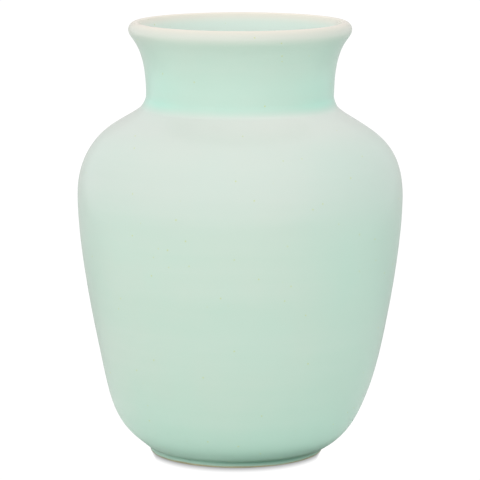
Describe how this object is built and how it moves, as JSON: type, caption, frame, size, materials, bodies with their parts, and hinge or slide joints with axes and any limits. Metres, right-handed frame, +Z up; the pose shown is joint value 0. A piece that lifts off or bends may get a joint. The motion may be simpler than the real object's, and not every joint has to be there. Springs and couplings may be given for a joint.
{
  "type": "vase",
  "caption": "Porcelain vase with a flared mouth, waisted neck, broad shoulder and tapering body on a low turned foot ring, in a pale celadon glaze",
  "frame": {"origin": "centre of the foot ring's standing face", "axes": "+Z up along the axis that the vase was thrown on; X and Y are any two level directions"},
  "size_m": [0.165, 0.165, 0.22],
  "materials": {
    "bare_porcelain": "matte, fired and unglazed",
    "celadon_glaze": "glossy, pale blue-green, pooled darker above the foot",
    "thin_lip_glaze": "glossy, thin and cream where it runs off the lip"
  },
  "bodies": {
    "root": {"porcelain_body": "bare_porcelain", "outer_glaze": "celadon_glaze", "inner_glaze": "celadon_glaze", "base_glaze": "celadon_glaze", "lip_glaze": "thin_lip_glaze"}
  },
  "joints": []
}
